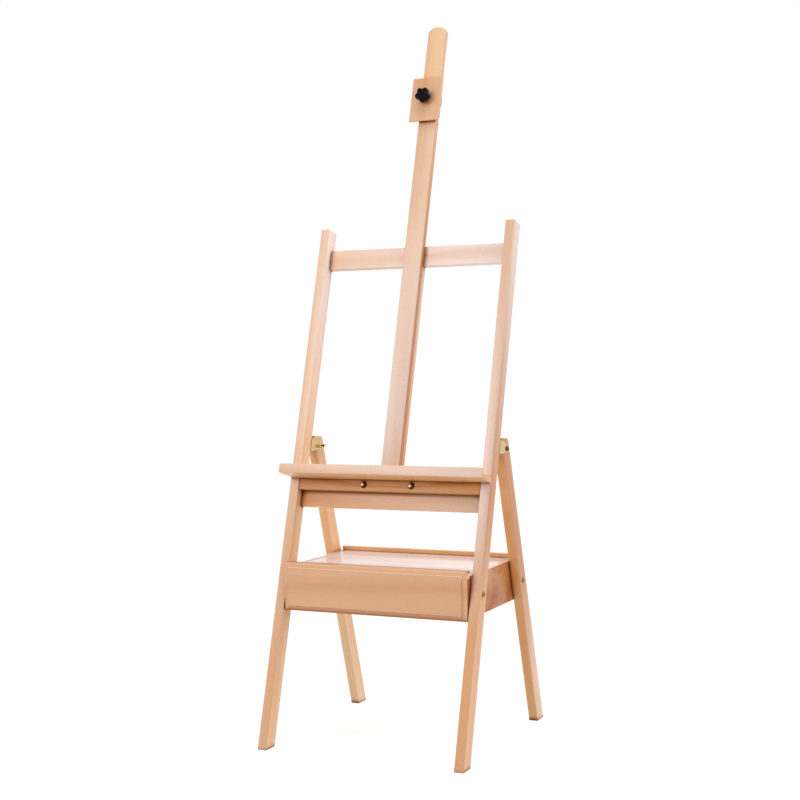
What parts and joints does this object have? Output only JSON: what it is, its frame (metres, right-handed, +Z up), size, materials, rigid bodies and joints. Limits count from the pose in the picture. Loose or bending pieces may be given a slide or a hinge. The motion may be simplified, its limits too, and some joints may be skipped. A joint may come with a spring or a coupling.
{
  "type": "artist easel",
  "caption": "Leaning A-frame easel of pale wood with a sliding mast, top canvas clamp, lipped ledge, folding rear legs and a drawer box between the legs.",
  "frame": {"origin": "centre of the bounding box on the floor", "axes": "+Z up, -Y towards the front where the canvas and drawer face, +X to the right seen from the front"},
  "size_m": [0.5326, 0.5432, 1.7516],
  "materials": {
    "beech": "satin clear lacquer",
    "plywood": "matte",
    "brass": "bright plated",
    "steel": "zinc plated",
    "black_plastic": "glossy"
  },
  "bodies": {
    "frame": {"left_stile": "beech", "right_stile": "beech", "upper_crossbar": "beech", "lower_rail": "beech", "center_post": "beech", "mast_bolt": "brass", "mast_washer": "brass", "left_bracket": "brass", "right_bracket": "brass", "left_bracket_screws": "brass", "right_bracket_screws": "brass", "left_front_bolt": "brass", "right_front_bolt": "brass", "left_cross_bolt": "brass", "right_cross_bolt": "brass"},
    "mast_nut": {"mast_wing_nut": "brass"},
    "ledge": {"ledge_lip": "beech", "ledge_floor": "beech", "ledge_apron": "beech", "ledge_clamp_bar": "beech", "left_ledge_bolt": "brass", "right_ledge_bolt": "brass", "left_ledge_washer": "brass", "right_ledge_washer": "brass"},
    "left_ledge_nut": {"left_ledge_wing_nut": "brass"},
    "right_ledge_nut": {"right_ledge_wing_nut": "brass"},
    "mast": {"sliding_mast": "beech"},
    "clamp": {"clamp_block": "beech", "clamp_strap": "brass", "left_strap_screw": "brass", "right_strap_screw": "brass"},
    "knob": {"star_knob": "black_plastic", "knob_stud": "steel"},
    "left_leg": {"left_rear_leg": "beech", "left_rear_bolt": "brass"},
    "right_leg": {"right_rear_leg": "beech", "right_rear_bolt": "brass"},
    "left_leg_nut": {"left_cross_wing_nut": "brass"},
    "right_leg_nut": {"right_cross_wing_nut": "brass"},
    "case": {"case_left_side": "beech", "case_right_side": "beech", "case_top": "beech", "case_bottom": "beech", "case_back": "beech", "gallery_strip": "beech", "left_drawer_runner": "beech", "right_drawer_runner": "beech"},
    "drawer": {"drawer_front": "beech", "drawer_left_side": "beech", "drawer_right_side": "beech", "drawer_back": "beech", "drawer_bottom": "plywood"}
  },
  "joints": [
    {"name": "ledge_slide", "type": "slide", "parent": "frame", "child": "ledge", "axis": [0, 0.2857, 0.9583], "range_m": [0, 0.3]},
    {"name": "mast_slide", "type": "slide", "parent": "ledge", "child": "mast", "axis": [0, 0.2857, 0.9583], "range_m": [0, 0.18]},
    {"name": "clamp_slide", "type": "slide", "parent": "mast", "child": "clamp", "axis": [0, 0.2857, 0.9583], "range_m": [-0.35, 0.13]},
    {"name": "knob_turn", "type": "hinge", "parent": "clamp", "child": "knob", "pos_m": [-0.0055, 0.1645, 1.56776], "axis": [0, 0.9583, -0.2857], "continuous": true},
    {"name": "mast_nut_turn", "type": "hinge", "parent": "frame", "child": "mast_nut", "pos_m": [0, 0.11727, 1.1538], "axis": [0, 0.9583, -0.2857], "continuous": true},
    {"name": "left_ledge_nut_turn", "type": "hinge", "parent": "ledge", "child": "left_ledge_nut", "pos_m": [-0.0625, -0.03194, 0.59379], "axis": [0, 0.9583, -0.2857], "continuous": true},
    {"name": "right_ledge_nut_turn", "type": "hinge", "parent": "ledge", "child": "right_ledge_nut", "pos_m": [0.0625, -0.03194, 0.59379], "axis": [0, 0.9583, -0.2857], "continuous": true},
    {"name": "left_leg_fold", "type": "hinge", "parent": "frame", "child": "left_leg", "pos_m": [-0.249, 0.02156, 0.69377], "axis": [-1, 0, 0], "range_deg": [0, 33.7]},
    {"name": "right_leg_fold", "type": "hinge", "parent": "frame", "child": "right_leg", "pos_m": [0.249, 0.02156, 0.69377], "axis": [-1, 0, 0], "range_deg": [0, 33.7]},
    {"name": "left_leg_nut_turn", "type": "hinge", "parent": "frame", "child": "left_leg_nut", "pos_m": [-0.234, 0.02156, 0.69377], "axis": [1, 0, 0], "continuous": true},
    {"name": "right_leg_nut_turn", "type": "hinge", "parent": "frame", "child": "right_leg_nut", "pos_m": [0.234, 0.02156, 0.69377], "axis": [1, 0, 0], "continuous": true},
    {"name": "case_swing", "type": "hinge", "parent": "frame", "child": "case", "pos_m": [0, -0.14022, 0.37407], "axis": [-1, 0, 0], "range_deg": [0, 75]},
    {"name": "drawer_slide", "type": "slide", "parent": "case", "child": "drawer", "axis": [0, -1, 0], "range_m": [0, 0.2]}
  ]
}
